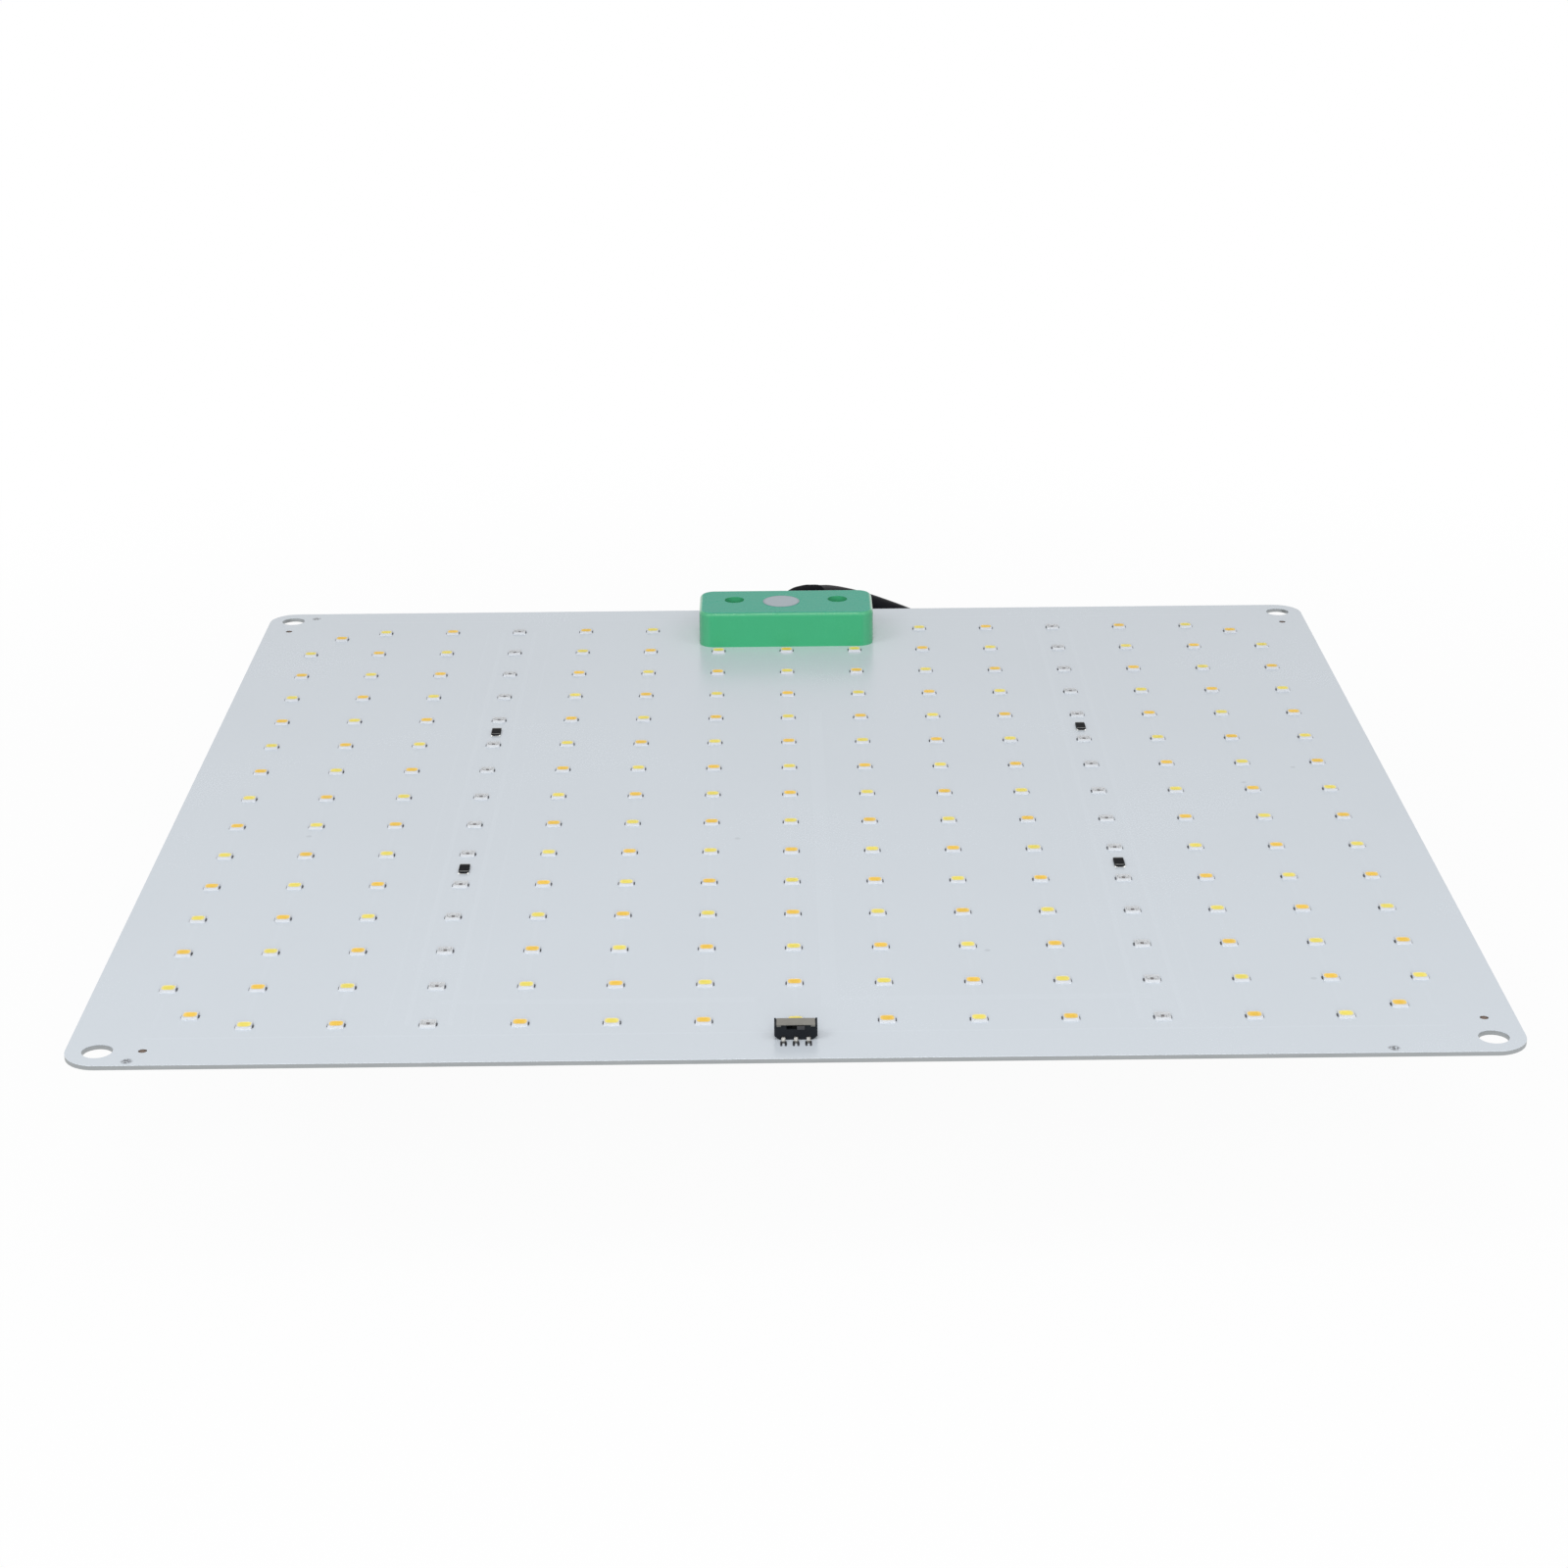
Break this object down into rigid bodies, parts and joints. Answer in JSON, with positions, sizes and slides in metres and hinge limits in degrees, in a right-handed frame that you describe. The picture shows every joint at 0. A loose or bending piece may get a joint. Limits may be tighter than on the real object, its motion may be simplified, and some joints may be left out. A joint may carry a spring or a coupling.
{
  "type": "led grow light board",
  "caption": "Square aluminium circuit board with rows of small lamps for plants, a slide switch at the front edge, and a covered mains driver with its lead at the rear.",
  "frame": {"origin": "the middle of the four corner hanging holes, on the board's underside", "axes": "+X to the right and +Y away from the switch as the picture shows the board, +Z out of the lamp side"},
  "size_m": [0.29, 0.3191, 0.0607],
  "materials": {
    "bare_aluminium": "milled edge, brushed underside",
    "solder_mask": "white solder mask, half matt",
    "lamp_housing": "moulded white resin",
    "warm_phosphor": "silicone with orange phosphor",
    "cool_phosphor": "silicone with yellow phosphor",
    "clear_resin": "clear silicone",
    "lamp_chip": "dark chip",
    "solder": "tinned, soldered",
    "black_ceramic": "glazed black",
    "switch_black": "moulded black",
    "switch_steel": "stamped sheet",
    "contact_brass": "bright",
    "green_plastic": "moulded, half gloss",
    "screw_steel": "zinc plated",
    "sticker": "bare silver paper",
    "black_rubber": "moulded",
    "chip_black": "moulded",
    "absorber_blue": "dipped lacquer",
    "fuse_ceramic": "bare ceramic",
    "wire_brown": "wire sleeve",
    "wire_blue": "wire sleeve",
    "wire_green": "wire sleeve",
    "cord_black": "smooth sheath, half matt",
    "tie_black": "strap"
  },
  "bodies": {
    "board": {"aluminium_base": "bare_aluminium", "white_face": "solder_mask", "led_housings": "lamp_housing", "warm_phosphor": "warm_phosphor", "cool_phosphor": "cool_phosphor", "red_lenses": "clear_resin", "red_dies": "lamp_chip", "led_terminals": "solder", "resistor_bodies": "black_ceramic", "resistor_end_caps": "solder", "switch_base": "switch_black", "switch_cover": "switch_steel", "switch_pins": "solder", "driver_cover": "green_plastic", "cover_screws": "screw_steel", "round_sticker": "sticker", "strain_relief": "black_rubber", "bridge_rectifier": "chip_black", "rectifier_leads": "solder", "driver_chips": "chip_black", "driver_chip_leads": "solder", "surge_absorber": "absorber_blue", "fuse": "fuse_ceramic", "live_wire": "wire_brown", "neutral_wire": "wire_blue", "earth_wire": "wire_green", "solder_mounds": "solder", "power_cord": "cord_black", "cord_coil": "cord_black", "cord_tie": "tie_black", "plug_lead": "cord_black", "plug_body": "cord_black", "plug_blades": "contact_brass", "plug_ground_pin": "contact_brass"},
    "slider": {"switch_slider": "switch_black", "switch_contact": "contact_brass"}
  },
  "joints": [
    {"name": "switch_slide", "type": "slide", "parent": "board", "child": "slider", "axis": [1, 0, 0], "range_m": [-0.002, 0]}
  ]
}
